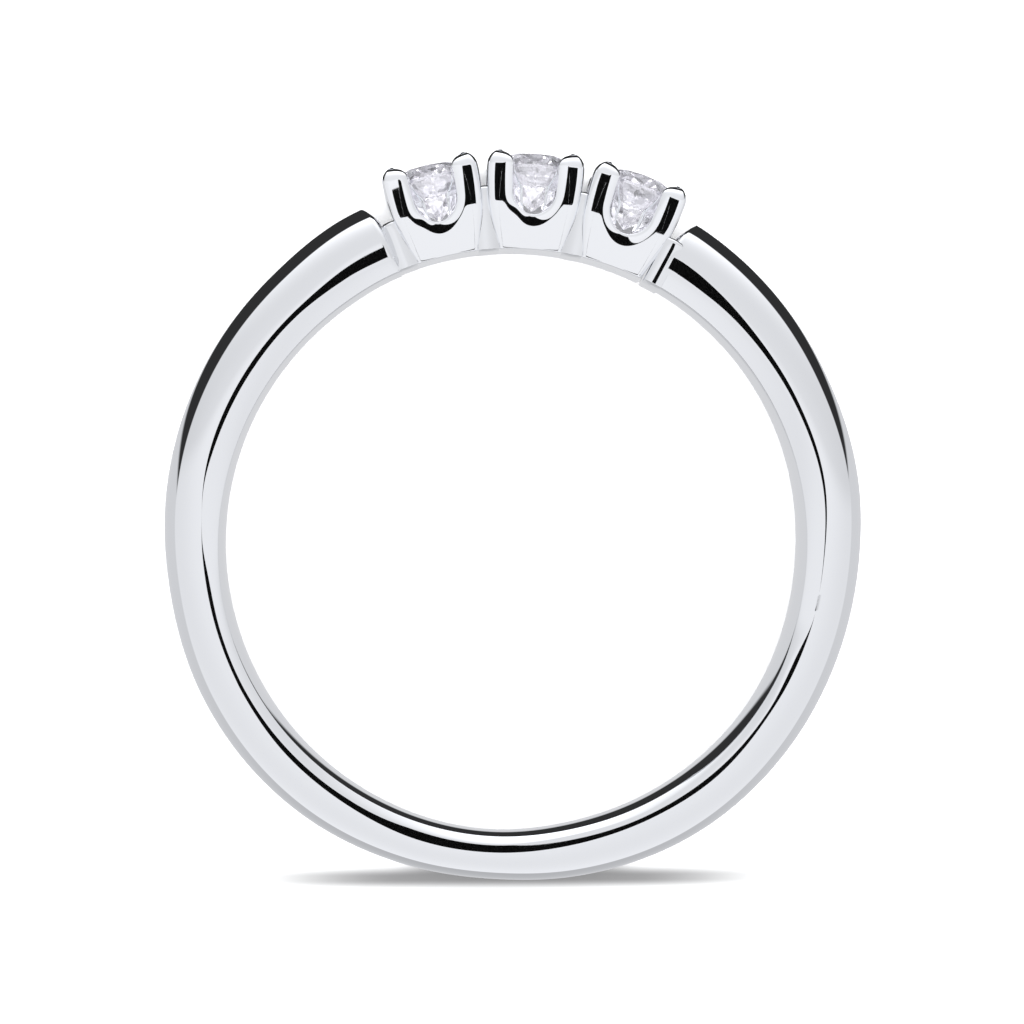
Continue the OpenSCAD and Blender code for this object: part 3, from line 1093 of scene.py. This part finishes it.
@dataclass(frozen=True)
class Studio:
    """Pale floor, cards, one soft light and the camera over the ring.

    The camera's place comes from the picture: the bore's centre, the point where the finger
    axis vanishes, the ring's turn and the lens, all in pixels of a 1024 pixel frame. Corners
    are in millimetres.
    """

    frame_px: float = 1024.0
    lens_px: float = 2096.0
    sensor_mm: float = 36.0
    distance_mm: float = 62.0
    origin_px: tuple[float, float] = (511.9, 542.7)
    vanish_px: tuple[float, float] = (445.0, 462.0)
    turn_deg: float = 3.4
    clip_m: tuple[float, float] = (0.001, 2.0)
    floor_half: float = 400.0
    black_corners: Corners = ((-6.0, -12.0, 63.0), (14.0, -12.0, 63.0), (12.0, 14.0, 63.0),
                              (-1.0, 14.0, 63.0))
    behind_corners: Corners = ((-120.0, -20.0, -60.0), (120.0, -20.0, -60.0),
                               (120.0, 160.0, -60.0), (-120.0, 160.0, -60.0))
    ahead_corners: Corners = ((-120.0, 60.0, -60.0), (120.0, 60.0, -60.0), (120.0, 60.0, 90.0),
                              (-120.0, 60.0, 90.0))
    cloud_mm: float = 8.0
    cloud: Span = (0.43, 0.49, 0.05, 1.5)
    light_mm: float = 200.0
    light_height: float = 150.0
    light_watts: float = 0.5

    def camera(self) -> Object:
        """Makes the camera.

        Returns:
            The camera, which looks almost down the finger axis.
        """
        def ray(pixel: tuple[float, float]) -> Array:
            """Direction through a pixel, in the camera's axes."""
            half = self.frame_px / 2
            return np.array([(pixel[0] - half) / self.lens_px, (half - pixel[1]) / self.lens_px, -1.0])

        z = -ray(self.vanish_px)
        z /= np.linalg.norm(z)
        turn = math.radians(self.turn_deg)
        y = np.array([math.sin(turn), math.cos(turn), 0.0])
        y -= y.dot(z) * z
        y /= np.linalg.norm(y)
        axes = np.stack([np.cross(y, z), y, z])
        matrix = np.eye(4)
        matrix[:3, :3] = axes
        matrix[:3, 3] = -axes @ ray(self.origin_px) * self.distance_mm * MM
        data = bpy.data.cameras.new("camera")
        data.sensor_width = self.sensor_mm
        data.lens = self.lens_px / self.frame_px * self.sensor_mm
        data.clip_start, data.clip_end = self.clip_m
        camera = bpy.data.objects.new("camera", data)
        camera.matrix_world = Matrix(matrix.tolist())
        bpy.context.scene.collection.objects.link(camera)
        bpy.context.scene.camera = camera
        return camera

    def plane(self, name: str, corners: Corners, material: Material, unseen: tuple[str, ...]) -> Object:
        """Makes a flat piece with four corners that isn't part of the ring.

        Args:
            name: Name of the piece.
            corners: Its corners in millimetres, in order.
            material: Its material.
            unseen: Kinds of ray that pass it by.

        Returns:
            The staged object.
        """
        mesh = bpy.data.meshes.new(name)
        mesh.from_pydata((np.array(corners) * MM).tolist(), [], [[0, 1, 2, 3]])
        mesh.materials.append(material)
        plane = bpy.data.objects.new(name, mesh)
        bpy.context.scene.collection.objects.link(plane)
        plane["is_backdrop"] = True
        for kind in unseen:
            setattr(plane, f"visible_{kind}", False)
        return plane

    def floor(self, height: float) -> Object:
        """Lays the paper under the ring. Polished metal doesn't mirror it, as the real stand
        under such a ring is lit apart.

        Args:
            height: Height of the paper in millimetres.

        Returns:
            The staged floor.
        """
        w = self.floor_half
        corners = ((-w, -w, height), (w, -w, height), (w, w, height), (-w, w, height))
        return self.plane("floor", corners, StudioPaper().make(), ("glossy",))

    def black_card(self) -> Object:
        """Hangs a black card round the camera, which the polished faces mirror as dark bands.

        Returns:
            The staged card.
        """
        material, _ = start_material("black_card", {
            "Base Color": hex_linear("#080808"), "Roughness": 1.0, "Specular IOR Level": 0.0})
        return self.plane("black_card", self.black_corners, material,
                          ("camera", "diffuse", "shadow", "transmission"))

    def white_card(self, name: str, corners: Corners) -> Object:
        """Stands a mottled white card by the stones. Only light that has passed through a stone
        sees it, so it fills the facets without a mark in the metal.

        Args:
            name: Name of the card.
            corners: Its corners in millimetres, in order.

        Returns:
            The staged card.
        """
        material, tree = start_material(name, {
            "Base Color": hex_linear("#000000"), "Emission Color": hex_linear("#FAF8FF")})
        cloud = add_node(tree, "TexNoise", {
            "Vector": add_node(tree, "TexCoord")["Object"], "Scale": 1 / (self.cloud_mm * MM),
            "Detail": 3.0})["Fac"]
        glow = add_node(tree, "MapRange", (cloud, *self.cloud), **SMOOTH)[0]
        feed_shader(material, {"Emission Strength": glow})
        return self.plane(name, corners, material, ("camera", "diffuse", "glossy", "shadow"))

    def softbox(self) -> Object:
        """Hangs a soft square light over the ring that isn't mirrored as a shape of its own.

        Returns:
            The light.
        """
        data = bpy.data.lights.new("softbox_over", "AREA")
        data.shape = "SQUARE"
        data.size = self.light_mm * MM
        data.energy = self.light_watts
        light = bpy.data.objects.new("softbox_over", data)
        light.location = (0.0, 0.0, self.light_height * MM)
        light.visible_glossy = False
        bpy.context.scene.collection.objects.link(light)
        return light


def main() -> None:
    """Builds the studio, the metal and the stones, and dresses them.

    The heads and the posts stand in a row. The right end post is deeper and narrower than the
    others and stands a little nearer to its shoulder.
    """
    logging.basicConfig(level=logging.INFO, format="%(name)s: %(message)s")
    bpy.context.scene.view_settings.view_transform = "Standard"
    studio = Studio()
    studio.camera()
    SoftRoom().make()
    studio.black_card()
    studio.white_card("white_card_behind", studio.behind_corners)
    studio.white_card("white_card_ahead", studio.ahead_corners)
    studio.softbox()
    sizes = RingSizes()
    between, end = sizes.pitch / 2, sizes.end_angle
    heads = [Head(sizes, side, table) for side, table in zip(Side, sizes.table_heights)]
    links = [Link(sizes, "link_left", -between, sizes.link_h),
             Link(sizes, "link_right", between, sizes.link_h),
             Link(sizes, "link_left_end", -end, sizes.end_link_h),
             Link(sizes, "link_right_end", end + sizes.right_link_ahead, sizes.end_link_h,
                  flare=0.1, half_span=0.27, half_depth=1.24, bulge=0.05)]
    gold = PolishedWhiteGold().make()
    # A lighter copy of the same metal, put on the heads.
    plated = PolishedWhiteGold("lighter_white_gold_for_heads", "#FBFCFE").make()
    for part in (Shank(sizes), *heads, *links):
        part.build().data.materials.append(plated if isinstance(part, Head) else gold)
    polished, frosted = CutDiamond().make(), BrutedGirdle().make()
    for side, table in zip(Side, sizes.table_heights):
        Brilliant(sizes, side, table).build(polished, frosted)
    studio.floor(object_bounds()[0][2] / MM)


if __name__ == "__main__":
    main()
